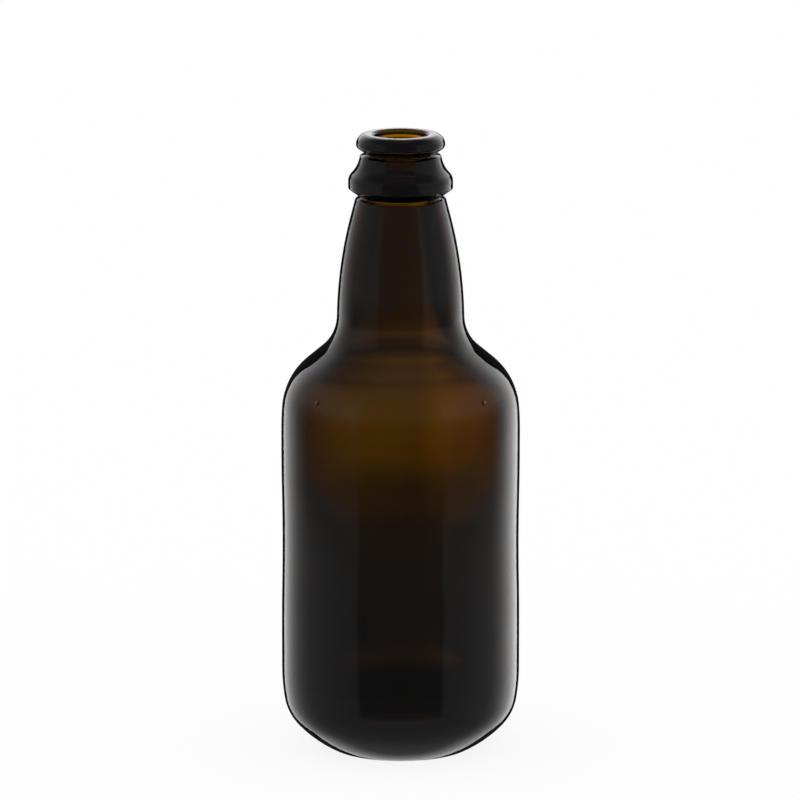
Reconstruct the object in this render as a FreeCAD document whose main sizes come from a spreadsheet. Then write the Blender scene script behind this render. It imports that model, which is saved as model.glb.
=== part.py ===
import FreeCAD, Part
import math
import os

import Sketcher

# Amber glass beer bottle with a crown finish, empty and uncapped.
#
# The bottle is one blown piece of glass, so it is one solid: a revolved outline with an
# outside, an inside and a pushed-up base.  Millimetres and degrees, +Z up, origin at the
# centre of the base.  Angles named "..._angle" lean from the vertical unless noted.

# ---------------------------------------------------------------------------------------
# Driving dimensions: alias, value, meaning
# ---------------------------------------------------------------------------------------
SIZES = [
    ("total_height", 187.2, "base to lip"),
    ("body_radius", 35.8, "outside of the body at its two contact bands"),
    ("wall", 3.0, "glass thickness of body, shoulder and neck"),
    # base and heel, from the bearing ring up to the straight wall
    ("push_up_height", 3.2, "rise of the base's underside at the axis"),
    ("bearing_width", 3.6, "flat ring that the bottle stands on"),
    ("bearing_angle", 63.5, "lean of the glass where it leaves the bearing ring"),
    ("sole_radius", 36.8, "large arc that lifts off the bearing ring"),
    ("heel_angle", 43.3, "lean where the sole meets the heel arc"),
    ("heel_radius", 13.8, "main heel arc"),
    ("heel_blend_angle", 9.3, "lean where the heel arc meets its blend"),
    ("heel_blend_radius", 56.0, "blend from the heel into the wall"),
    ("bearing_edge_radius", 1.6, "rounding of both edges of the bearing ring"),
    # body
    ("lower_band", 12.9, "straight wall under the waist"),
    ("waist_depth", 0.27, "how far the label panel draws in"),
    ("upper_band", 6.1, "straight wall over the waist"),
    # shoulder and neck
    ("shoulder_blend_radius", 92.0, "blend from the wall into the shoulder"),
    ("shoulder_blend_angle", 4.4, "turn of that blend"),
    ("shoulder_radius", 20.0, "main shoulder arc"),
    ("shoulder_straight", 6.3, "straight slope between shoulder and neck foot"),
    ("neck_foot_radius", 12.9, "hollow at the foot of the neck"),
    ("neck_swell_radius", 129.0, "long outward swell of the neck"),
    ("neck_swell_angle", 13.6, "turn of that swell"),
    ("neck_angle", 14.6, "lean of the neck's straight top"),
    ("neck_straight", 5.4, "length of that straight"),
    ("neck_top_radius", 13.55, "neck just under the groove"),
    ("neck_edge_radius", 0.7, "rounding over the groove"),
    # collar
    ("groove_depth", 1.35, "from the neck's edge in to the bottom of the groove"),
    ("groove_floor_radius", 0.3, "rounding in the bottom of the groove"),
    ("groove_rise", 0.75, "height from the neck's edge to the bottom of the groove"),
    ("collar_underside_angle", 36.9, "slope of the collar's underside from the horizontal"),
    ("collar_corner_radius", 0.35, "lower corner of the collar"),
    ("collar_radius", 15.63, "outside of the collar"),
    ("collar_side", 1.9, "straight side of the collar"),
    ("collar_top_radius", 3.2, "rounding over the collar"),
    ("collar_top_angle", 44.0, "lean where that rounding meets the cone"),
    ("cone_radius", 9.4, "hollow arc of the cone over the collar"),
    ("cone_angle", 12.5, "lean of the cone's top"),
    ("cone_straight", 0.9, "straight top of the cone"),
    # crown finish
    ("ledge_rise", 0.55, "step from the cone in to the throat"),
    ("ledge_edge_radius", 0.35, "rounding of that step"),
    ("throat_depth", 2.65, "from the outside of the bead in to the throat under it"),
    ("throat_length", 0.35, "straight part of the throat"),
    ("bead_underside_angle", 35.7, "slope of the bead's underside from the horizontal"),
    ("bead_low_radius", 1.28, "rounding under the bead"),
    ("bead_radius", 13.3, "outside of the bead that the crown cork grips"),
    ("lip_radius", 3.2, "rounding from the bead up to the lip"),
    ("bore_radius", 8.0, "mouth"),
    ("bore_edge_radius", 1.1, "rounding inside the lip"),
    # inside of the base
    ("floor_thickness", 5.4, "glass under the lowest ring of the inside"),
    ("inner_heel_radius", 18.0, "inside heel arc"),
    ("floor_angle", 12.0, "slope where the floor leaves that arc, from the horizontal"),
]


def make_sheet(doc):
    """Spreadsheet named sizes, with one aliased number a row."""
    sheet = doc.addObject("Spreadsheet::Sheet", "sizes")
    for row, (alias, value, meaning) in enumerate(SIZES, start=1):
        sheet.set("A%d" % row, alias)
        sheet.set("B%d" % row, str(value))
        sheet.set("C%d" % row, meaning)
        sheet.setAlias("B%d" % row, alias)
    doc.recompute()
    return sheet


# ---------------------------------------------------------------------------------------
# Outline: a pen that walks round the glass and keeps each line or arc that it draws
# ---------------------------------------------------------------------------------------
START, END, CENTRE = 1, 2, 3
ORIGIN = (-1, 1)
HORIZONTAL_AXIS = -1
VERTICAL_AXIS = -2
# most of the glass between bore and bead that the lip's two roundings may take
LIP_SHARE = 0.8


class Pen:
    """Walks in the half plane (radius, height) with a heading in degrees."""

    def __init__(self, radius, height, heading):
        self.radius = radius
        self.height = height
        self.heading = heading
        self.pieces = []

    def point(self):
        return FreeCAD.Vector(self.radius, self.height, 0)

    def keep(self, name, shape, first=START, last=END):
        self.pieces.append((name, shape, first, last))

    def line_to(self, name, radius, height):
        begin = self.point()
        self.radius = radius
        self.height = height
        self.heading = math.degrees(math.atan2(height - begin.y, radius - begin.x))
        self.keep(name, Part.LineSegment(begin, self.point()))

    def line(self, name, length):
        angle = math.radians(self.heading)
        heading = self.heading
        self.line_to(name, self.radius + length * math.cos(angle), self.height + length * math.sin(angle))
        self.heading = heading

    def arc(self, name, radius, turn):
        """Arc that turns by turn degrees, positive to the left."""
        side = math.copysign(1.0, turn)
        normal = math.radians(self.heading + 90 * side)
        centre = self.point() + FreeCAD.Vector(math.cos(normal), math.sin(normal), 0) * radius
        begin = normal - math.pi
        end = begin + math.radians(turn)
        circle = Part.Circle(centre, FreeCAD.Vector(0, 0, 1), radius)
        if turn > 0:
            self.keep(name, Part.ArcOfCircle(circle, begin, end), START, END)
        else:
            self.keep(name, Part.ArcOfCircle(circle, end, begin), END, START)
        self.radius = centre.x + radius * math.cos(end)
        self.height = centre.y + radius * math.sin(end)
        self.heading += turn


def shoulder_angle(size):
    """Lean of the shoulder's straight slope that brings the neck to its radius."""
    cos_blend = math.cos(math.radians(size.shoulder_blend_angle))
    cos_foot = math.cos(math.radians(size.neck_angle - size.neck_swell_angle))
    cos_neck = math.cos(math.radians(size.neck_angle))
    sin_neck = math.sin(math.radians(size.neck_angle))
    arcs = size.shoulder_radius + size.neck_foot_radius
    rest = size.shoulder_blend_radius * (1 - cos_blend)
    rest += size.shoulder_radius * cos_blend + size.neck_foot_radius * cos_foot
    rest += size.neck_swell_radius * (cos_foot - cos_neck) + size.neck_straight * sin_neck
    rest -= size.body_radius - size.neck_top_radius
    slope = size.shoulder_straight
    return math.degrees(math.acos(rest / math.hypot(arcs, slope)) - math.atan2(slope, arcs))


def heel_width(size):
    """Radial distance from the wall in to the outer edge of the bearing ring."""
    cosines = [
        math.cos(math.radians(angle))
        for angle in (0, size.heel_blend_angle, size.heel_angle, size.bearing_angle)
    ]
    radii = (size.heel_blend_radius, size.heel_radius, size.sole_radius)
    return sum(radius * (cosines[i] - cosines[i + 1]) for i, radius in enumerate(radii))


def draw_base(pen, size):
    """Push-up, bearing ring and heel, ending at the foot of the waist."""
    inner = size.body_radius - heel_width(size) - size.bearing_width
    rise = size.push_up_height
    dome = (inner * inner + rise * rise) / (2 * rise)
    turn = math.degrees(math.asin(inner / dome))
    pen.heading = 0
    pen.arc("push_up", dome, -turn)
    pen.heading = 0
    pen.line("bearing", size.bearing_width)
    pen.heading = 90 - size.bearing_angle
    pen.arc("sole", size.sole_radius, size.bearing_angle - size.heel_angle)
    pen.arc("heel", size.heel_radius, size.heel_angle - size.heel_blend_angle)
    pen.arc("heel_blend", size.heel_blend_radius, size.heel_blend_angle)
    pen.line("lower_band", size.lower_band)


def draw_waist(pen, size, height):
    """Label panel: three equal arcs that draw the wall in and out again."""
    half = height / 2
    radius = (half * half + size.waist_depth ** 2) / (4 * size.waist_depth)
    turn = math.degrees(math.asin(half / (2 * radius)))
    pen.arc("waist_low", radius, turn)
    pen.arc("waist_mid", radius, -2 * turn)
    pen.arc("waist_high", radius, turn)


def draw_top(pen, size):
    """Everything outside from the top of the waist to the lip."""
    slope = shoulder_angle(size)
    pen.line("upper_band", size.upper_band)
    pen.arc("shoulder_blend", size.shoulder_blend_radius, size.shoulder_blend_angle)
    pen.arc("shoulder", size.shoulder_radius, slope - size.shoulder_blend_angle)
    pen.line("shoulder_slope", size.shoulder_straight)
    pen.arc("neck_foot", size.neck_foot_radius, size.neck_angle - size.neck_swell_angle - slope)
    pen.arc("neck_swell", size.neck_swell_radius, size.neck_swell_angle)
    pen.line("neck_line", size.neck_straight)
    # groove and collar
    groove = size.neck_top_radius - size.groove_depth
    pen.line_to("groove", groove, pen.height + size.groove_rise)
    pen.heading = size.collar_underside_angle
    angle = math.radians(size.collar_underside_angle)
    corner = size.collar_corner_radius * (1 - math.sin(angle))
    pen.line("underside", (size.collar_radius - corner - groove) / math.cos(angle))
    pen.arc("corner", size.collar_corner_radius, 90 - size.collar_underside_angle)
    pen.line("collar_side", size.collar_side)
    pen.arc("collar_top", size.collar_top_radius, size.collar_top_angle)
    pen.arc("cone", size.cone_radius, size.cone_angle - size.collar_top_angle)
    pen.line("cone_line", size.cone_straight)
    # throat, bead and lip
    throat = size.bead_radius - size.throat_depth
    pen.line_to("ledge", throat, pen.height + size.ledge_rise)
    pen.heading = 90
    pen.line("throat", size.throat_length)
    pen.heading = size.bead_underside_angle
    angle = math.radians(size.bead_underside_angle)
    corner = size.bead_low_radius * (1 - math.sin(angle))
    pen.line("bead_under", (size.bead_radius - corner - throat) / math.cos(angle))
    pen.arc("bead", size.bead_low_radius, 90 - size.bead_underside_angle)
    mouth_wall = size.bead_radius - size.bore_radius
    pen.arc("lip", min(size.lip_radius, LIP_SHARE * mouth_wall), 90)
    pen.line_to("lip_top", size.bore_radius, pen.height)


def draw_inside(pen, size, neck_end):
    """Bore, neck, shoulder, wall and floor of the inside, down to the axis."""
    slope = shoulder_angle(size)
    lean = math.radians(size.neck_angle)
    radius = neck_end.x - size.wall * math.cos(lean)
    height = neck_end.y - size.wall * math.sin(lean)
    length = (radius - size.bore_radius) / math.sin(lean)
    pen.line_to("bore", size.bore_radius, height + length * math.cos(lean))
    pen.line_to("inner_neck", radius, height)
    pen.arc("inner_swell", size.neck_swell_radius - size.wall, -size.neck_swell_angle)
    foot = slope - size.neck_angle + size.neck_swell_angle
    pen.arc("inner_foot", size.neck_foot_radius + size.wall, foot)
    pen.line("inner_slope", size.shoulder_straight)
    pen.arc("inner_shoulder", size.shoulder_radius - size.wall, size.shoulder_blend_angle - slope)
    pen.arc("inner_blend", size.shoulder_blend_radius - size.wall, -size.shoulder_blend_angle)
    pen.line_to("inner_wall", pen.radius, size.floor_thickness + size.inner_heel_radius)
    pen.arc("inner_heel", size.inner_heel_radius, -90 - size.floor_angle)
    pen.arc("floor", pen.radius / math.sin(math.radians(size.floor_angle)), size.floor_angle)
    pen.line_to("axis", 0, size.push_up_height)


def draw_outline(size):
    """The whole closed outline, its free height taken up by the waist."""
    trial = Pen(size.body_radius, 0, 90)
    draw_top(trial, size)
    pen = Pen(0, size.push_up_height, 0)
    draw_base(pen, size)
    draw_waist(pen, size, size.total_height - trial.height - pen.height)
    draw_top(pen, size)
    neck_line = [shape for name, shape, first, last in pen.pieces if name == "neck_line"][0]
    draw_inside(pen, size, neck_line.StartPoint)
    return pen.pieces


# ---------------------------------------------------------------------------------------
# Sketch: the outline with its joints and dimensions
# ---------------------------------------------------------------------------------------
# pieces that run on smoothly from the piece before them
SMOOTH = """heel heel_blend lower_band waist_low waist_mid waist_high upper_band shoulder_blend
    shoulder shoulder_slope neck_foot neck_swell neck_line corner collar_side collar_top cone
    cone_line bead lip lip_top inner_swell inner_foot inner_slope inner_shoulder inner_blend
    inner_wall inner_heel floor""".split()

# sizes of the pieces, as expressions in the sheet's aliases
RADII = {
    "sole": "sizes.sole_radius",
    "heel": "sizes.heel_radius",
    "heel_blend": "sizes.heel_blend_radius",
    "shoulder_blend": "sizes.shoulder_blend_radius",
    "shoulder": "sizes.shoulder_radius",
    "neck_foot": "sizes.neck_foot_radius",
    "neck_swell": "sizes.neck_swell_radius",
    "corner": "sizes.collar_corner_radius",
    "collar_top": "sizes.collar_top_radius",
    "cone": "sizes.cone_radius",
    "bead": "sizes.bead_low_radius",
    "inner_swell": "sizes.neck_swell_radius - sizes.wall",
    "inner_foot": "sizes.neck_foot_radius + sizes.wall",
    "inner_shoulder": "sizes.shoulder_radius - sizes.wall",
    "inner_blend": "sizes.shoulder_blend_radius - sizes.wall",
    "inner_heel": "sizes.inner_heel_radius",
}
TURNS = {
    "sole": "sizes.bearing_angle - sizes.heel_angle",
    "heel": "sizes.heel_angle - sizes.heel_blend_angle",
    "heel_blend": "sizes.heel_blend_angle",
    "shoulder_blend": "sizes.shoulder_blend_angle",
    "neck_swell": "sizes.neck_swell_angle",
    "collar_top": "sizes.collar_top_angle",
    "cone": "sizes.collar_top_angle - sizes.cone_angle",
    "inner_swell": "sizes.neck_swell_angle",
    "inner_blend": "sizes.shoulder_blend_angle",
    "floor": "sizes.floor_angle",
}
LENGTHS = {
    "bearing": "sizes.bearing_width",
    "lower_band": "sizes.lower_band",
    "upper_band": "sizes.upper_band",
    "shoulder_slope": "sizes.shoulder_straight",
    "neck_line": "sizes.neck_straight",
    "collar_side": "sizes.collar_side",
    "cone_line": "sizes.cone_straight",
    "throat": "sizes.throat_length",
    "inner_slope": "sizes.shoulder_straight",
}
HEADINGS = {
    "neck_line": "sizes.neck_angle + 90",
    "underside": "sizes.collar_underside_angle",
    "bead_under": "sizes.bead_underside_angle",
    "inner_neck": "sizes.neck_angle - 90",
}
END_RADII = {
    "lower_band": "sizes.body_radius",
    "waist_low": "sizes.body_radius - sizes.waist_depth / 2",
    "upper_band": "sizes.body_radius",
    "neck_line": "sizes.neck_top_radius",
    "groove": "sizes.neck_top_radius - sizes.groove_depth",
    "collar_side": "sizes.collar_radius",
    "ledge": "sizes.bead_radius - sizes.throat_depth",
    "bead": "sizes.bead_radius",
    "lip_top": "sizes.bore_radius",
    "inner_wall": "sizes.body_radius - sizes.wall",
}
RISES = {
    "groove": "sizes.groove_rise",
    "ledge": "sizes.ledge_rise",
}
MOUTH_WALL = "(sizes.bead_radius - sizes.bore_radius)"
LIP_RADIUS = "min(sizes.lip_radius; %g * %s)" % (LIP_SHARE, MOUTH_WALL)
LIP_FLAT = "(%s - %s)" % (MOUTH_WALL, LIP_RADIUS)
UPRIGHT = ("lower_band", "upper_band", "collar_side", "throat", "bore", "inner_wall")
LEVEL = ("bearing", "lip_top")
SAME_RADIUS = (("waist_low", "waist_mid"), ("waist_mid", "waist_high"))
LEVEL_CENTRES = (("inner_shoulder", "shoulder"), ("inner_foot", "neck_foot"))


class Outline:
    """A sketch that holds the drawn pieces, their joints and their bound dimensions."""

    def __init__(self, sketch, sheet, pieces):
        self.sketch = sketch
        self.sheet = sheet
        self.pieces = {}
        for name, shape, first, last in pieces:
            self.pieces[name] = (sketch.addGeometry(shape, False), first, last)

    def index(self, name):
        return self.pieces[name][0]

    def start(self, name):
        return self.pieces[name][0], self.pieces[name][1]

    def end(self, name):
        return self.pieces[name][0], self.pieces[name][2]

    def centre(self, name):
        return self.pieces[name][0], CENTRE

    def fix(self, kind, *places):
        self.sketch.addConstraint(Sketcher.Constraint(kind, *places))

    def bind(self, name, kind, places, expression, unit="mm"):
        """Dimension whose value the sheet gives."""
        value = self.sheet.evalExpression(expression)
        if unit == "deg":
            value = math.radians(value)
        row = self.sketch.addConstraint(Sketcher.Constraint(kind, *places, value))
        self.sketch.renameConstraint(row, name)
        self.sketch.setExpression("Constraints." + name, "(%s) * 1 %s" % (expression, unit))

    def join(self):
        names = list(self.pieces)
        for before, after in zip(names, names[1:] + names[:1]):
            kind = "Tangent" if after in SMOOTH else "Coincident"
            self.fix(kind, *self.end(before), *self.start(after))

    def dimension(self):
        for name, expression in RADII.items():
            self.bind(name + "_radius", "Radius", (self.index(name),), expression)
        self.bind("lip_radius", "Radius", (self.index("lip"),), LIP_RADIUS)
        for name, expression in TURNS.items():
            self.bind(name + "_turn", "Angle", (self.index(name),), expression, "deg")
        for name, expression in LENGTHS.items():
            self.bind(name + "_length", "Distance", (self.index(name),), expression)
        for name, expression in HEADINGS.items():
            self.bind(name + "_heading", "Angle", (self.index(name),), expression, "deg")
        for name, expression in END_RADII.items():
            self.bind(name + "_out", "DistanceX", ORIGIN + self.end(name), expression)
        for name, expression in RISES.items():
            self.bind(name + "_rise", "DistanceY", self.start(name) + self.end(name), expression)
        self.bind("height", "DistanceY", ORIGIN + self.end("lip_top"), "sizes.total_height")
        self.bind("push_up_rise", "DistanceY", ORIGIN + self.start("push_up"), "sizes.push_up_height")
        middle = "sizes.floor_thickness + sizes.inner_heel_radius"
        self.bind("inner_heel_centre", "DistanceY", ORIGIN + self.centre("inner_heel"), middle)

    def align(self):
        for name in UPRIGHT:
            self.fix("Vertical", self.index(name))
        for name in LEVEL:
            self.fix("Horizontal", self.index(name))
        for name, other in SAME_RADIUS:
            self.fix("Equal", self.index(name), self.index(other))
        for name, other in LEVEL_CENTRES:
            self.fix("Horizontal", *self.centre(name), *self.centre(other))
        self.fix("Horizontal", *self.centre("bead"), *self.end("bead"))
        self.fix("PointOnObject", *self.start("bearing"), HORIZONTAL_AXIS)
        on_axis = (self.start("push_up"), self.centre("push_up"), self.end("floor"), self.centre("floor"))
        for place in on_axis:
            self.fix("PointOnObject", *place, VERTICAL_AXIS)


def origin_plane(body, role):
    """One of the body's own origin planes."""
    return [plane for plane in body.Origin.OriginFeatures if plane.Role == role][0]


def make_outline(body, sheet, size):
    sketch = body.newObject("Sketcher::SketchObject", "glass_outline")
    sketch.AttachmentSupport = [(origin_plane(body, "XZ_Plane"), "")]
    sketch.MapMode = "FlatFace"
    outline = Outline(sketch, sheet, draw_outline(size))
    outline.join()
    outline.align()
    outline.dimension()
    return outline


# ---------------------------------------------------------------------------------------
# The bottle
# ---------------------------------------------------------------------------------------
EDGE_MATCH = 1e-4

# fillet, the outline's ends that it rounds and its radius
ROUNDINGS = {
    "bearing_edge": (("push_up", "bearing"), "sizes.bearing_edge_radius"),
    "neck_edge": (("neck_line",), "sizes.neck_edge_radius"),
    "groove_floor": (("groove",), "sizes.groove_floor_radius"),
    "ledge_edge": (("cone_line",), "sizes.ledge_edge_radius"),
    "bore_edge": (("lip_top",), "min(sizes.bore_edge_radius; %g * %s)" % (LIP_SHARE, LIP_FLAT)),
}


def rim(feature, outline, name):
    """Name of the feature's circular edge where the named piece of the outline ends."""
    place = outline.sketch.getPoint(*outline.end(name))
    for number, edge in enumerate(feature.Shape.Edges, start=1):
        if edge.Degenerated or not isinstance(edge.Curve, Part.Circle):
            continue
        radius_gap = abs(edge.Curve.Radius - place.x)
        height_gap = abs(edge.Curve.Center.z - place.y)
        if edge.isClosed() and max(radius_gap, height_gap) < EDGE_MATCH:
            return "Edge%d" % number
    raise ValueError("no edge at the end of " + name)


def round_edges(outline, base, name, ends, expression):
    """Fillet over the base feature's edges at the named ends of the outline."""
    body = base.getParentGeoFeatureGroup()
    fillet = body.newObject("PartDesign::Fillet", name)
    fillet.Base = (base, [rim(base, outline, end) for end in ends])
    fillet.setExpression("Radius", "(%s) * 1 mm" % expression)
    body.Document.recompute()
    return fillet


def make_bottle(doc, sheet, size):
    """One piece of glass: the outline turned about the axis, its sharp edges rounded."""
    body = doc.addObject("PartDesign::Body", "bottle")
    body.Label = "bottle"
    outline = make_outline(body, sheet, size)
    doc.recompute()
    glass = body.newObject("PartDesign::Revolution", "glass")
    glass.Profile = (outline.sketch, [""])
    glass.ReferenceAxis = (outline.sketch, ["V_Axis"])
    glass.Angle = 360
    doc.recompute()
    feature = glass
    for name, (ends, expression) in ROUNDINGS.items():
        feature = round_edges(outline, feature, name, ends, expression)
    body.Tip = feature
    doc.recompute()
    return body


class Values:
    """The sheet's numbers by their aliases."""

    def __init__(self, sheet):
        for alias, _, _ in SIZES:
            setattr(self, alias, float(sheet.get(alias)))


def check(doc, parts):
    """Stop when an object failed or a sub-part isn't one sound solid."""
    for thing in doc.Objects:
        if "Invalid" in thing.State or "Error" in thing.State:
            raise RuntimeError("%s failed: %s" % (thing.Name, thing.State))
    for part in parts:
        shape = part.Shape
        if shape.isNull() or not shape.isValid() or len(shape.Solids) != 1:
            raise RuntimeError("%s isn't one valid solid" % part.Label)


def export(parts):
    os.makedirs("parts", exist_ok=True)
    for part in parts:
        part.Shape.exportStep("parts/%s.step" % part.Label)
        box = part.Shape.optimalBoundingBox()
        volume = part.Shape.Volume / 1000
        print("%s: %.1f mm wide, %.1f mm tall, %.1f cm3" % (part.Label, box.XLength, box.ZLength, volume))


def main():
    doc = FreeCAD.newDocument("beer_bottle")
    sheet = make_sheet(doc)
    parts = [make_bottle(doc, sheet, Values(sheet))]
    check(doc, parts)
    export(parts)


main()
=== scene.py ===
import math

import bmesh
import bpy
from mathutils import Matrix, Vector


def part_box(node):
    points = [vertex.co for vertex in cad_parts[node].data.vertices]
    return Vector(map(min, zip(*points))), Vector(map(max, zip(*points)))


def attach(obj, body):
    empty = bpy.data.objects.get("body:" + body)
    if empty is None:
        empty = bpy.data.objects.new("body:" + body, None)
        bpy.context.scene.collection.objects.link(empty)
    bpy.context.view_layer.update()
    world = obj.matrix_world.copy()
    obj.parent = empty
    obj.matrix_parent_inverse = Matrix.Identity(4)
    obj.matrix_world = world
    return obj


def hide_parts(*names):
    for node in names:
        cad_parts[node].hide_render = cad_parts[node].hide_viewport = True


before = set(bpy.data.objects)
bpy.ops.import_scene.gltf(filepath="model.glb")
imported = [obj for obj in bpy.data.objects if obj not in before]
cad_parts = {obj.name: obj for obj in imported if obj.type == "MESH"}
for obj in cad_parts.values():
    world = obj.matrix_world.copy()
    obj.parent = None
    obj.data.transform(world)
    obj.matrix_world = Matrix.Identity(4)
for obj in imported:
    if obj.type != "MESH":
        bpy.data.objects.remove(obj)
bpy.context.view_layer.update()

# Amber glass beer bottle, empty and uncapped, on a plain pale floor.
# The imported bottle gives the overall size.  Its outline is drawn again here as a fine closed
# mesh of glass, with the marks that a mould leaves.  The outline and the glass are in
# millimetres, the studio is in metres where no comment says otherwise, angles are in degrees.

MM = 0.001                  # one millimetre in metres
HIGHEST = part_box("bottle")[1]
TOTAL_HEIGHT = HIGHEST[2] / MM
BODY_RADIUS = HIGHEST[0] / MM


# ---------------------------------------------------------------------------------------
# Outline of the glass, as (radius, height) points
# ---------------------------------------------------------------------------------------
class Shape:
    """Sizes of the bottle in millimetres and degrees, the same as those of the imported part."""

    wall = 3.0
    push_up_height = 3.2
    bearing_width = 3.6
    bearing_angle = 63.5
    sole_radius = 36.8
    heel_angle = 43.3
    heel_radius = 13.8
    heel_blend_angle = 9.3
    heel_blend_radius = 56.0
    bearing_edge_radius = 1.6
    lower_band = 12.9
    waist_depth = 0.27
    upper_band = 6.1
    shoulder_blend_radius = 92.0
    shoulder_blend_angle = 4.4
    shoulder_radius = 20.0
    shoulder_straight = 6.3
    neck_foot_radius = 12.9
    neck_swell_radius = 129.0
    neck_swell_angle = 13.6
    neck_angle = 14.6
    neck_straight = 5.4
    neck_top_radius = 13.55
    neck_edge_radius = 0.7
    groove_depth = 1.35
    groove_rise = 0.75
    groove_floor_radius = 0.3
    collar_underside_angle = 36.9
    collar_corner_radius = 0.35
    collar_radius = 15.63
    collar_side = 1.9
    collar_top_radius = 3.2
    collar_top_angle = 44.0
    cone_radius = 9.4
    cone_angle = 12.5
    cone_straight = 0.9
    ledge_rise = 0.55
    ledge_edge_radius = 0.35
    throat_depth = 2.65
    throat_length = 0.35
    bead_underside_angle = 35.7
    bead_low_radius = 1.28
    bead_radius = 13.3
    lip_radius = 3.2
    bore_radius = 8.0
    bore_edge_radius = 1.1
    floor_thickness = 5.4
    inner_heel_radius = 18.0
    floor_angle = 12.0


ARC_STEP = 4.0              # turn between the points of an arc
SMALL_ARC_STEP = 12.0       # the same for an arc shorter than LINE_STEP or at a corner
LINE_STEP = 2.2             # most length between points
SAME_LEVEL = 0.001          # heights closer than this count as the same


class Pen:
    """Walks in the half plane (radius, height) and keeps the points that it passes."""

    def __init__(self, radius, height, heading):
        self.radius = radius
        self.height = height
        self.heading = heading      # degrees, 0 is outward and 90 is up
        self.points = [(radius, height)]
        self.corners = []

    def move(self, radius, height):
        self.radius = radius
        self.height = height
        self.points.append((radius, height))

    def line(self, length):
        angle = math.radians(self.heading)
        count = max(1, math.ceil(length / LINE_STEP))
        start = (self.radius, self.height)
        for step in range(1, count + 1):
            way = length * step / count
            self.move(start[0] + way * math.cos(angle), start[1] + way * math.sin(angle))

    def line_to(self, radius, height):
        across = radius - self.radius
        up = height - self.height
        self.heading = math.degrees(math.atan2(up, across))
        self.line(math.hypot(across, up))

    def arc(self, radius, turn):
        """Arc that changes the heading by turn, positive to the left."""
        side = math.copysign(1.0, turn)
        normal = math.radians(self.heading + 90 * side)
        centre = (self.radius + radius * math.cos(normal), self.height + radius * math.sin(normal))
        length = radius * math.radians(abs(turn))
        step = ARC_STEP if length > LINE_STEP else SMALL_ARC_STEP
        count = max(2, math.ceil(abs(turn) / step), math.ceil(length / LINE_STEP))
        for part in range(1, count + 1):
            angle = normal - math.pi + math.radians(turn) * part / count
            self.move(centre[0] + radius * math.cos(angle), centre[1] + radius * math.sin(angle))
        self.heading += turn

    def corner(self, radius):
        """Marks the last point as a corner to be rounded."""
        self.corners.append((len(self.points) - 1, radius))


def cosine(angle):
    return math.cos(math.radians(angle))


def sine(angle):
    return math.sin(math.radians(angle))


def shoulder_angle(s):
    """Lean of the shoulder's slope that brings the neck to its radius."""
    foot = s.neck_angle - s.neck_swell_angle
    arcs = s.shoulder_radius + s.neck_foot_radius
    rest = s.shoulder_blend_radius * (1 - cosine(s.shoulder_blend_angle))
    rest += s.shoulder_radius * cosine(s.shoulder_blend_angle) + s.neck_foot_radius * cosine(foot)
    rest += s.neck_swell_radius * (cosine(foot) - cosine(s.neck_angle))
    rest += s.neck_straight * sine(s.neck_angle) - (BODY_RADIUS - s.neck_top_radius)
    slope = s.shoulder_straight
    return math.degrees(math.acos(rest / math.hypot(arcs, slope)) - math.atan2(slope, arcs))


def heel_width(s):
    """Radial distance from the wall in to the outer edge of the bearing ring."""
    angles = (0, s.heel_blend_angle, s.heel_angle, s.bearing_angle)
    radii = (s.heel_blend_radius, s.heel_radius, s.sole_radius)
    return sum(r * (cosine(a) - cosine(b)) for r, a, b in zip(radii, angles, angles[1:]))


def draw_base(pen, s):
    """Push-up, bearing ring, heel and the wall up to the waist."""
    inner = BODY_RADIUS - heel_width(s) - s.bearing_width
    dome = (inner ** 2 + s.push_up_height ** 2) / (2 * s.push_up_height)
    pen.arc(dome, -math.degrees(math.asin(inner / dome)))
    pen.corner(s.bearing_edge_radius)
    pen.heading = 0
    pen.line(s.bearing_width)
    pen.corner(s.bearing_edge_radius)
    pen.heading = 90 - s.bearing_angle
    pen.arc(s.sole_radius, s.bearing_angle - s.heel_angle)
    pen.arc(s.heel_radius, s.heel_angle - s.heel_blend_angle)
    pen.arc(s.heel_blend_radius, s.heel_blend_angle)
    pen.line(s.lower_band)


def draw_waist(pen, s, height):
    """Wall that draws in a little and comes out again."""
    half = height / 2
    radius = (half ** 2 + s.waist_depth ** 2) / (4 * s.waist_depth)
    turn = math.degrees(math.asin(half / (2 * radius)))
    pen.arc(radius, turn)
    pen.arc(radius, -2 * turn)
    pen.arc(radius, turn)


def draw_neck(pen, s):
    """Shoulder and neck; returns where the swell of the neck ends."""
    slope = shoulder_angle(s)
    pen.line(s.upper_band)
    pen.arc(s.shoulder_blend_radius, s.shoulder_blend_angle)
    pen.arc(s.shoulder_radius, slope - s.shoulder_blend_angle)
    pen.line(s.shoulder_straight)
    pen.arc(s.neck_foot_radius, s.neck_angle - s.neck_swell_angle - slope)
    pen.arc(s.neck_swell_radius, s.neck_swell_angle)
    neck_end = (pen.radius, pen.height)
    pen.line(s.neck_straight)
    return neck_end


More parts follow.
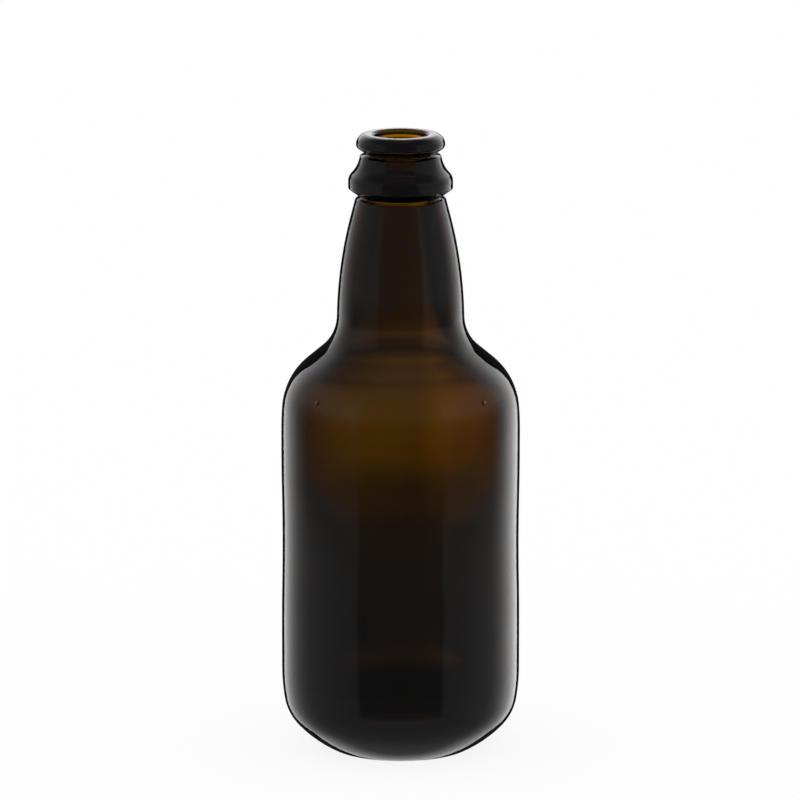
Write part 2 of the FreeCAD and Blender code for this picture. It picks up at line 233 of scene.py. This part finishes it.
def draw_finish(pen, s):
    """Groove, collar, cone, throat, bead and lip."""
    groove = s.neck_top_radius - s.groove_depth
    pen.corner(s.neck_edge_radius)
    pen.line_to(groove, pen.height + s.groove_rise)
    pen.corner(s.groove_floor_radius)
    pen.heading = s.collar_underside_angle
    corner = s.collar_corner_radius * (1 - sine(pen.heading))
    pen.line((s.collar_radius - corner - groove) / cosine(pen.heading))
    pen.arc(s.collar_corner_radius, 90 - s.collar_underside_angle)
    pen.line(s.collar_side)
    pen.arc(s.collar_top_radius, s.collar_top_angle)
    pen.arc(s.cone_radius, s.cone_angle - s.collar_top_angle)
    pen.line(s.cone_straight)
    pen.corner(s.ledge_edge_radius)
    throat = s.bead_radius - s.throat_depth
    pen.line_to(throat, pen.height + s.ledge_rise)
    pen.heading = 90
    pen.line(s.throat_length)
    pen.heading = s.bead_underside_angle
    corner = s.bead_low_radius * (1 - sine(pen.heading))
    pen.line((s.bead_radius - corner - throat) / cosine(pen.heading))
    pen.arc(s.bead_low_radius, 90 - s.bead_underside_angle)
    pen.arc(s.lip_radius, 90)
    pen.line_to(s.bore_radius, pen.height)
    pen.corner(s.bore_edge_radius)


def draw_inside(pen, s, neck_end):
    """Bore, inside of the neck and body, and the floor, from the lip down."""
    lean = s.neck_angle
    radius = neck_end[0] - s.wall * cosine(lean)
    height = neck_end[1] - s.wall * sine(lean)
    length = (radius - s.bore_radius) / sine(lean)
    slope = shoulder_angle(s)
    pen.line_to(s.bore_radius, height + length * cosine(lean))
    pen.line_to(radius, height)
    pen.arc(s.neck_swell_radius - s.wall, -s.neck_swell_angle)
    pen.arc(s.neck_foot_radius + s.wall, slope - s.neck_angle + s.neck_swell_angle)
    pen.line(s.shoulder_straight)
    pen.arc(s.shoulder_radius - s.wall, s.shoulder_blend_angle - slope)
    pen.arc(s.shoulder_blend_radius - s.wall, -s.shoulder_blend_angle)
    pen.line_to(pen.radius, s.floor_thickness + s.inner_heel_radius)
    pen.arc(s.inner_heel_radius, -90 - s.floor_angle)
    pen.arc(pen.radius / sine(s.floor_angle), s.floor_angle)


def walk(points, index, step, distance):
    """Point at a distance along the points from one of them, and the points passed."""
    passed = 0
    here = Vector(points[index])
    while True:
        there = Vector(points[index + step])
        gap = (there - here).length
        if gap >= distance:
            return here + (there - here) * (distance / gap), passed
        distance -= gap
        here = there
        index += step
        passed += 1


def round_corners(points, corners):
    """Replaces marked corners by arcs, from the last one back so that indices hold."""
    for index, radius in reversed(corners):
        here = Vector(points[index])
        before = (here - Vector(points[index - 1])).normalized()
        after = (Vector(points[index + 1]) - here).normalized()
        turn = before.angle_signed(after)
        reach = radius * math.tan(abs(turn) / 2)
        start, passed_before = walk(points, index, -1, reach)
        end, passed_after = walk(points, index, 1, reach)
        side = -math.copysign(1.0, turn)
        normal = Vector((-before.y, before.x)) * side
        centre = start + normal * radius
        count = max(3, math.ceil(math.degrees(abs(turn)) / SMALL_ARC_STEP))
        spoke = start - centre
        arc = []
        for step in range(count + 1):
            angle = side * abs(turn) * step / count
            cos, sin = math.cos(angle), math.sin(angle)
            radial = centre.x + spoke.x * cos - spoke.y * sin
            upward = centre.y + spoke.x * sin + spoke.y * cos
            arc.append((radial, upward))
        points[index - passed_before:index + passed_after + 1] = arc
    return points


def glass_outline(s):
    """Points from the axis under the base, up the outside and down the inside to the axis."""
    trial = Pen(BODY_RADIUS, 0, 90)
    draw_neck(trial, s)
    draw_finish(trial, s)
    pen = Pen(0, s.push_up_height, 0)
    draw_base(pen, s)
    draw_waist(pen, s, TOTAL_HEIGHT - trial.height - pen.height)
    neck_end = draw_neck(pen, s)
    draw_finish(pen, s)
    draw_inside(pen, s, neck_end)
    return round_corners(pen.points, pen.corners)


# ---------------------------------------------------------------------------------------
# The glass
# ---------------------------------------------------------------------------------------
COLUMNS = 240
COLUMN_GAP = 0.2                    # least angle between two columns
FINE_OFFSETS = (0, 0.2, 0.45, 0.8, 1.3)     # closer columns and rows from a seam or pip
SEAM_ANGLES = (0, 180)              # round the axis from the right-hand side
SEAM_HALF_WIDTH = 0.4
SEAM_HEIGHT = 0.05
SEAM_FLANK = 5.0                    # reach of the hollow in which a seam stands
PIP_ANGLES = (44, 136, 224, 316)
PIP_HEIGHT = 110.4                  # of its middle on the shoulder
PIP_RADIUS = 0.8
PIP_RISE = 0.35
STIPPLE_LOW = 7.5                   # heights of the stippled band
STIPPLE_HIGH = 14.5
STIPPLE_FADE = 1.0
STIPPLE_ROW = 1.1                   # from one row of dots to the next
STIPPLE_DEPTH = 0.03
STIPPLE_COUNT = 60                  # dots round the bottle in a row
RELIEF_FROM = 0.5                   # height from which the outside has relief
KNURLS = 40                         # round the bearing ring
KNURL_DEPTH = 0.15
WAVE_DEPTH = 0.02
WAVE_COUNT = 5                      # waves round the bottle
WAVE_TWIST = 9                      # rise per radian by which the waves shift round it
WAVE_RISE = 7                       # rise per radian of the waves up the bottle
WALL_SWING = 0.3
SWING_SHARE = 0.6                   # strength of the threefold wave against the twofold one
SWING_SHIFT = 1.3                   # radians between them
SWING_TWISTS = (31, 17)             # rise per radian by which each shifts round
SWING_START = (8, 30)               # heights over which the wall grows uneven
SWING_END = (140, 165)              # heights over which it grows even again
GLASS_IOR = 1.52
GLASS_TINT = (0.71, 0.63, 0.15, 1)
GLASS_DENSITY = 2000                # per metre; the glass absorbs (1 - tint) of it
FOOT_RADIUS = BODY_RADIUS - heel_width(Shape)       # outer edge of the bearing ring


def smooth_step(value, low, high):
    """Goes from 0 to 1 as value goes from low to high, with a soft beginning and end."""
    share = min(1.0, max(0.0, (value - low) / (high - low)))
    return share * share * (3 - 2 * share)


def arc_gap(angle, degrees):
    """Signed angle from a marked one in degrees to one in radians, in radians."""
    gap = angle - math.radians(degrees)
    return math.atan2(math.sin(gap), math.cos(gap))


def column_angles():
    """Angles in radians of even columns, with closer ones at the seams and vent pips."""
    angles = {2 * math.pi * k / COLUMNS for k in range(COLUMNS)}
    for mark in SEAM_ANGLES + PIP_ANGLES:
        for offset in FINE_OFFSETS:
            for side in (-1, 1):
                angles.add((math.radians(mark) + side * offset / BODY_RADIUS) % (2 * math.pi))
    kept = []
    for angle in sorted(angles):
        if not kept or angle - kept[-1] > math.radians(COLUMN_GAP):
            kept.append(angle)
    return kept


def add_fine_rows(points):
    """Closer rows on the outside where the vent pips stand."""
    heights = sorted({PIP_HEIGHT + side * offset for offset in FINE_OFFSETS for side in (-1, 1)})
    result = [points[0]]
    outside = True
    for before, after in zip(points, points[1:]):
        outside = outside and before[1] < TOTAL_HEIGHT - SAME_LEVEL
        for height in heights:
            if outside and before[1] < height < after[1]:
                share = (height - before[1]) / (after[1] - before[1])
                result.append((before[0] + (after[0] - before[0]) * share, height))
        result.append(after)
    return result


def outside_relief(angle, radius, height):
    """Distance out from the plain outside: seams, vent pips, stippled heel, slow waves."""
    turn = WAVE_COUNT * angle + height / WAVE_TWIST
    relief = -WAVE_DEPTH * (1 + math.sin(turn) * math.sin(height / WAVE_RISE)) / 2
    for mark in SEAM_ANGLES:
        gap = abs(arc_gap(angle, mark)) * radius
        relief -= SEAM_HEIGHT * (1 - smooth_step(gap, 0, SEAM_FLANK))
        relief += SEAM_HEIGHT * (1 - smooth_step(gap, 0, SEAM_HALF_WIDTH))
    for mark in PIP_ANGLES:
        gap = math.hypot(arc_gap(angle, mark) * radius, height - PIP_HEIGHT)
        relief += PIP_RISE * (1 - smooth_step(gap, 0, PIP_RADIUS))
    band = smooth_step(height, STIPPLE_LOW, STIPPLE_LOW + STIPPLE_FADE)
    band *= 1 - smooth_step(height, STIPPLE_HIGH - STIPPLE_FADE, STIPPLE_HIGH)
    dots = math.sin(STIPPLE_COUNT * angle) * math.sin(math.pi * height / STIPPLE_ROW)
    relief -= STIPPLE_DEPTH * band * (1 + dots)
    return relief


def inside_relief(angle, height):
    """Uneven wall of blown glass, even at the mouth and at the floor."""
    twofold = math.sin(2 * angle + SWING_SHIFT + height / SWING_TWISTS[0])
    threefold = math.sin(3 * angle - height / SWING_TWISTS[1])
    swing = twofold + SWING_SHARE * threefold
    uneven = smooth_step(height, *SWING_START) * (1 - smooth_step(height, *SWING_END))
    return WALL_SWING * swing * uneven / (1 + SWING_SHARE)


def glass_point(angle, radius, height, inside):
    """Point of the outline turned by angle and set off by its relief, in metres."""
    out, up = 0.0, 0.0
    on_ring = FOOT_RADIUS - Shape.bearing_width < radius < FOOT_RADIUS
    if inside:
        out = inside_relief(angle, height)
    elif height > RELIEF_FROM and radius > FOOT_RADIUS:
        out = outside_relief(angle, radius, height)
    elif on_ring and height < SAME_LEVEL:
        up = KNURL_DEPTH * max(0.0, math.sin(KNURLS * angle))
    across = (radius + out) * MM
    return across * math.cos(angle), across * math.sin(angle), (height + up) * MM


def add_rings(bm, outline):
    """A ring of mesh points for each point of the outline between its ends."""
    lip = max(place for place, point in enumerate(outline) if point[1] > TOTAL_HEIGHT - SAME_LEVEL)
    angles = column_angles()
    rings = []
    for place, (radius, height) in enumerate(outline[1:-1], 1):
        points = [glass_point(angle, radius, height, place > lip) for angle in angles]
        rings.append([bm.verts.new(point) for point in points])
    return rings


def add_faces(bm, bottom, rings, top):
    """Faces from ring to ring, and to the point on the axis at either end."""
    count = len(rings[0])
    for k in range(count):
        n = (k + 1) % count
        bm.faces.new((bottom, rings[0][n], rings[0][k]))
        bm.faces.new((top, rings[-1][k], rings[-1][n]))
        for low, high in zip(rings, rings[1:]):
            bm.faces.new((low[k], low[n], high[n], high[k]))
    bmesh.ops.recalc_face_normals(bm, faces=bm.faces)
    for face in bm.faces:
        face.smooth = True


def make_bottle():
    outline = add_fine_rows(glass_outline(Shape))
    mesh = bpy.data.meshes.new("bottle_glass")
    bm = bmesh.new()
    bottom = bm.verts.new((0, 0, outline[0][1] * MM))
    rings = add_rings(bm, outline)
    top = bm.verts.new((0, 0, outline[-1][1] * MM))
    add_faces(bm, bottom, rings, top)
    bm.to_mesh(mesh)
    bm.free()
    bottle = bpy.data.objects.new("bottle_glass", mesh)
    bpy.context.scene.collection.objects.link(bottle)
    return bottle


def glass_material():
    """Clear surface, with the amber in the glass behind it."""
    material = bpy.data.materials.new("amber_glass")
    material.use_nodes = True
    nodes = material.node_tree.nodes
    shader = nodes["Principled BSDF"]
    shader.inputs["Base Color"].default_value = (1, 1, 1, 1)
    shader.inputs["Roughness"].default_value = 0.0
    shader.inputs["IOR"].default_value = GLASS_IOR
    shader.inputs["Transmission Weight"].default_value = 1
    absorption = nodes.new("ShaderNodeVolumeAbsorption")
    absorption.inputs["Color"].default_value = GLASS_TINT
    absorption.inputs["Density"].default_value = GLASS_DENSITY
    volume = nodes["Material Output"].inputs["Volume"]
    material.node_tree.links.new(absorption.outputs["Volume"], volume)
    return material


# ---------------------------------------------------------------------------------------
# Studio
# ---------------------------------------------------------------------------------------
CAMERA_DISTANCE = 2.034
CAMERA_HEIGHT = 0.5334
CAMERA_SIDE = -0.00018
CAMERA_PITCH = 11.86        # below level
CAMERA_LENS = 312.1         # focal length and film width in mm
CAMERA_FILM = 36
CAMERA_REACH = 100


def make_camera():
    data = bpy.data.cameras.new("camera")
    data.lens = CAMERA_LENS
    data.sensor_width = CAMERA_FILM
    data.clip_end = CAMERA_REACH
    camera = bpy.data.objects.new("camera", data)
    camera.location = (CAMERA_SIDE, -CAMERA_DISTANCE, CAMERA_HEIGHT)
    camera.rotation_euler = (math.radians(90 - CAMERA_PITCH), 0, 0)
    bpy.context.scene.collection.objects.link(camera)
    bpy.context.scene.camera = camera


# brightness of the walls round the bottle: angle from the front, left wall, right wall
WALLS = (
    (0, 0.11, 0.11),
    (40, 0.13, 0.13),
    (44, 0.24, 0.25),
    (67, 0.27, 0.28),
    (98, 0.30, 0.36),
    (108, 0.37, 0.52),
    (118, 0.50, 0.88),
    (128, 0.74, 1.30),
    (143, 1.30, 2.00),
    (155, 1.70, 2.10),
    (180, 2.10, 2.10),
)
WALL_TOP = 2.5              # more than any of them, because a ramp holds levels up to 1
WALL_PLAIN = 0.3            # up to this a wall is as bright at every height
# share by elevation of what is brighter: the two sweeps of light behind the bottle
SWEEPS = (
    (-60, 0.00),
    (-14, 1.00),
    (12, 0.70),
    (24, 0.52),
    (42, 0.12),
    (58, 0.00),
)
TABLE = 0.27                # brightness of the table, and elevations where it sets in
TABLE_FROM = -27
TABLE_TO = -33
OVERHEAD = 0.14             # the same for what is overhead
OVERHEAD_FROM = 30
OVERHEAD_TO = 55


class Graph:
    """Adds shader nodes to a node tree in few words."""

    def __init__(self, tree):
        self.nodes = tree.nodes
        self.links = tree.links

    def add(self, kind):
        return self.nodes.new("ShaderNode" + kind)

    def math(self, operation, *values):
        node = self.add("Math")
        node.operation = operation
        for place, value in enumerate(values):
            self.feed(node.inputs[place], value)
        return node.outputs[0]

    def feed(self, socket, value):
        if isinstance(value, bpy.types.NodeSocket):
            self.links.new(value, socket)
        else:
            socket.default_value = value

    def line(self, value, low, high, start=0.0, end=1.0, curve="LINEAR"):
        """Goes from start to end as value goes from low to high."""
        node = self.add("MapRange")
        node.interpolation_type = curve
        names = ("Value", "From Min", "From Max", "To Min", "To Max")
        for name, amount in zip(names, (value, low, high, start, end)):
            self.feed(node.inputs[name], amount)
        return node.outputs[0]

    def span(self, value, low, high, start=0.0, end=1.0):
        """The same as line, with a soft beginning and end."""
        return self.line(value, low, high, start, end, "SMOOTHSTEP")

    def mix(self, factor, first, second):
        node = self.add("Mix")
        self.feed(node.inputs["Factor"], factor)
        self.feed(node.inputs["A"], first)
        self.feed(node.inputs["B"], second)
        return node.outputs["Result"]

    def place(self, kind):
        """X, y and z of texture coordinates."""
        split = self.add("SeparateXYZ")
        self.feed(split.inputs[0], self.add("TexCoord").outputs[kind])
        return split.outputs

    def azimuth(self, x, y):
        """Angle in radians from the front, alike on both sides."""
        return self.math("ARCTAN2", self.math("ABSOLUTE", x), self.math("MULTIPLY", y, -1.0))

    def glassy_ray(self):
        """1 for rays that glass mirrors or lets through, else 0."""
        rays = self.add("LightPath").outputs
        return self.math("MAXIMUM", rays["Is Glossy Ray"], rays["Is Transmission Ray"])

    def glow(self, surface, strength):
        light = self.add("Emission")
        self.feed(light.inputs["Strength"], strength)
        self.feed(surface, light.outputs[0])

    def blend(self, factor, first, second):
        node = self.add("MixShader")
        self.feed(node.inputs[0], factor)
        self.feed(node.inputs[1], first.outputs[0])
        self.feed(node.inputs[2], second.outputs[0])
        return node

    def steps(self, value, stops):
        """Grey level that changes evenly from stop to stop, where value is from 0 to 1."""
        node = self.add("ValToRGB")
        self.feed(node.inputs[0], value)
        ramp = node.color_ramp
        ramp.elements.remove(ramp.elements[1])
        for place, level in stops:
            element = ramp.elements[0] if place == 0 else ramp.elements.new(place)
            element.color = (level, level, level, 1)
        return node.outputs[0]


def table_stops(rows, column, whole=1.0):
    """Stops from 0 to 1 along a table, with a column's levels as shares of whole."""
    low, high = rows[0][0], rows[-1][0]
    return [((row[0] - low) / (high - low), row[column] / whole) for row in rows]


def make_world():
    """White to the camera; round the glass, two bright sweeps behind, grey sides, a dim front."""
    world = bpy.data.worlds.new("studio")
    bpy.context.scene.world = world
    world.use_nodes = True
    graph = Graph(world.node_tree)
    x, y, z = graph.place("Generated")
    share = graph.math("DIVIDE", graph.azimuth(x, y), math.pi)
    left_wall = graph.steps(share, table_stops(WALLS, 1, WALL_TOP))
    right_wall = graph.steps(share, table_stops(WALLS, 2, WALL_TOP))
    right = graph.math("GREATER_THAN", x, 0.0)
    walls = graph.math("MULTIPLY", graph.mix(right, left_wall, right_wall), WALL_TOP)
    base = graph.math("MINIMUM", walls, WALL_PLAIN)
    bright = graph.math("SUBTRACT", walls, base)
    low, high = math.radians(SWEEPS[0][0]), math.radians(SWEEPS[-1][0])
    height = graph.line(graph.math("ARCSINE", z), low, high)
    sweeps = graph.math("MULTIPLY", bright, graph.steps(height, table_stops(SWEEPS, 1)))
    over = graph.span(z, sine(OVERHEAD_FROM), sine(OVERHEAD_TO))
    under = graph.span(z, sine(TABLE_TO), sine(TABLE_FROM), 1.0, 0.0)
    plain = graph.mix(under, graph.mix(over, base, OVERHEAD), TABLE)
    studio = graph.math("ADD", plain, sweeps)
    background = graph.nodes["Background"]
    background.inputs["Color"].default_value = (1, 1, 1, 1)
    graph.feed(background.inputs["Strength"], graph.mix(graph.glassy_ray(), 1.0, studio))


def make_stage(name, mesh, hidden_from=()):
    """Staged object, hidden from some rays; returns its material's graph and surface input."""
    thing = bpy.data.objects.new(name, mesh)
    bpy.context.scene.collection.objects.link(thing)
    for rays in hidden_from:
        setattr(thing, "visible_" + rays, False)
    material = bpy.data.materials.new(name)
    material.use_nodes = True
    mesh.materials.append(material)
    graph = Graph(material.node_tree)
    return graph, graph.nodes["Material Output"].inputs["Surface"]


FLOOR_RADIUS = 3
FLOOR_SIDES = 64
FLOOR_WHITE = (0.97, 0.97, 0.97, 1)
FLOOR_ROUGHNESS = 0.9
FLOOR_SHADE = 0.12          # how much of it takes shadow, and isn't plain white


def make_floor():
    """White to the camera, with a faint shadow; the glass sees the studio through it."""
    mesh = bpy.data.meshes.new("floor")
    bm = bmesh.new()
    bmesh.ops.create_circle(bm, cap_ends=True, radius=FLOOR_RADIUS, segments=FLOOR_SIDES)
    bm.to_mesh(mesh)
    bm.free()
    graph, surface = make_stage("floor", mesh)
    paint = graph.nodes["Principled BSDF"]
    paint.inputs["Base Color"].default_value = FLOOR_WHITE
    paint.inputs["Roughness"].default_value = FLOOR_ROUGHNESS
    paint.inputs["Specular IOR Level"].default_value = 0
    lit = graph.blend(FLOOR_SHADE, graph.add("Emission"), paint)
    seen = graph.blend(graph.glassy_ray(), lit, graph.add("BsdfTransparent"))
    graph.feed(surface, seen.outputs[0])


CARD_PLACE = 0.100          # behind the middle of the bottle
CARD_HALF = 0.084           # half its width
CARD_LOW = -0.085
CARD_HIGH = 0.195
HOOD_HIGH = 0.420
CARD_GREY = 0.02            # light that the card gives outside the patch, and the hood gives
CARD_GLOW = 5.5             # full light of the patch
# soft patch of light on the card: height and half width in mm, share of full light
PATCH = (
    (-12, 15, 0.000),
    (-4, 20, 0.055),
    (0, 17, 0.055),
    (8, 13, 0.025),
    (20, 13, 0.017),
    (31, 16, 0.018),
    (40, 18, 0.020),
    (46, 23, 0.026),
    (52, 34, 0.053),
    (57, 43, 0.068),
    (61, 54, 0.100),
    (67, 66, 0.195),
    (75, 64, 0.246),
    (81, 60, 0.275),
    (95, 58, 0.270),
    (98, 56, 0.225),
    (101, 50, 0.145),
    (104, 40, 0.140),
    (108, 30, 0.080),
    (114, 22, 0.052),
    (120, 18, 0.056),
    (138, 15, 0.056),
    (147, 15, 0.060),
    (151, 25, 0.700),
    (155, 28, 1.000),
    (163, 28, 1.000),
    (168, 26, 0.300),
    (174, 26, 0.020),
)
PATCH_WIDEST = 100          # mm, more than any half width, because a ramp holds levels up to 1
PATCH_SOFT = 0.32           # it fades over this share of the half width to either side of it
PATCH_RIGHT = 0.72          # how much brighter its right side is
RIGHT_FROM = 0.005
RIGHT_TO = 0.018
PATCH_OUTER = 0.35          # how much brighter it is well away from the middle
OUTER_FROM = 0.010
OUTER_TO = 0.034


def make_board(name, low, high, hidden_from):
    """Upright board behind the bottle."""
    mesh = bpy.data.meshes.new(name)
    corners = [(-CARD_HALF, CARD_PLACE, low), (CARD_HALF, CARD_PLACE, low)]
    corners += [(CARD_HALF, CARD_PLACE, high), (-CARD_HALF, CARD_PLACE, high)]
    mesh.from_pydata(corners, [], [(0, 1, 2, 3)])
    return make_stage(name, mesh, hidden_from)


def make_hood():
    """Dark board above the card, seen only through the glass."""
    hidden_from = ("camera", "diffuse", "shadow", "glossy")
    graph, surface = make_board("hood", CARD_HIGH, HOOD_HIGH, hidden_from)
    graph.glow(surface, CARD_GREY)


def patch_light(graph):
    """Light of the soft patch, from the place on the card."""
    x, _, z = graph.place("Object")
    middle = graph.math("ABSOLUTE", x)
    place = graph.line(z, PATCH[0][0] * MM, PATCH[-1][0] * MM)
    levels = graph.steps(place, table_stops(PATCH, 2))
    widths = graph.steps(place, table_stops(PATCH, 1, PATCH_WIDEST))
    reach = graph.math("DIVIDE", middle, graph.math("MULTIPLY", widths, PATCH_WIDEST * MM))
    inside = graph.span(reach, 1 - PATCH_SOFT, 1 + PATCH_SOFT, 1.0, 0.0)
    right = graph.span(x, RIGHT_FROM, RIGHT_TO, 1.0, 1 + PATCH_RIGHT)
    outer = graph.line(middle, OUTER_FROM, OUTER_TO, 1.0, 1 + PATCH_OUTER)
    level = graph.math("MULTIPLY", graph.math("MULTIPLY", levels, inside), right)
    return graph.math("MULTIPLY", graph.math("MULTIPLY", level, outer), CARD_GLOW)


def make_card():
    """Dark card that the glass mirrors too; its patch is seen only through the glass."""
    hidden_from = ("camera", "diffuse", "shadow")
    graph, surface = make_board("card", CARD_LOW, CARD_HIGH, hidden_from)
    through = graph.add("LightPath").outputs["Is Transmission Ray"]
    patch = graph.math("MULTIPLY", patch_light(graph), through)
    graph.glow(surface, graph.math("ADD", patch, CARD_GREY))


SCREEN_RADIUS = 0.14
SCREEN_REACH = 120          # to either side, from the front
SCREEN_SIDES = 56
# how much of the light behind the screen gets through, by height in mm
SCREEN = (
    (36, 1.00),
    (46, 0.85),
    (52, 0.70),
    (59, 0.55),
    (64, 0.44),
    (69, 0.32),
    (75, 0.26),
    (86, 0.27),
    (97, 0.33),
    (112, 0.50),
    (134, 1.00),
)
SCREEN_FADE = (88, 113)     # angles from the front over which the screen clears


def make_screen():
    """Thin grey screen round the front, met only by what the glass mirrors."""
    low, high = SCREEN[0][0] * MM, SCREEN[-1][0] * MM
    corners = []
    for side in range(SCREEN_SIDES + 1):
        angle = math.radians(-SCREEN_REACH + 2 * SCREEN_REACH * side / SCREEN_SIDES)
        across, ahead = SCREEN_RADIUS * math.sin(angle), -SCREEN_RADIUS * math.cos(angle)
        corners += [(across, ahead, low), (across, ahead, high)]
    faces = [(2 * k, 2 * k + 2, 2 * k + 3, 2 * k + 1) for k in range(SCREEN_SIDES)]
    mesh = bpy.data.meshes.new("screen")
    mesh.from_pydata(corners, [], faces)
    hidden_from = ("camera", "diffuse", "transmission", "shadow")
    graph, surface = make_stage("screen", mesh, hidden_from)
    x, y, z = graph.place("Object")
    fade_from, fade_to = (math.radians(angle) for angle in SCREEN_FADE)
    clear = graph.line(graph.azimuth(x, y), fade_from, fade_to)
    passed = graph.steps(graph.line(z, low, high), table_stops(SCREEN, 1))
    veil = graph.add("BsdfTransparent")
    graph.feed(veil.inputs["Color"], graph.mix(clear, passed, 1.0))
    graph.feed(surface, veil.outputs[0])


def main():
    bpy.context.scene.view_settings.view_transform = "Standard"
    make_camera()
    bottle = make_bottle()
    bottle.data.materials.append(glass_material())
    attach(bottle, "root")
    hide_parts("bottle")
    make_world()
    make_floor()
    make_card()
    make_hood()
    make_screen()


main()
bpy.context.view_layer.update()
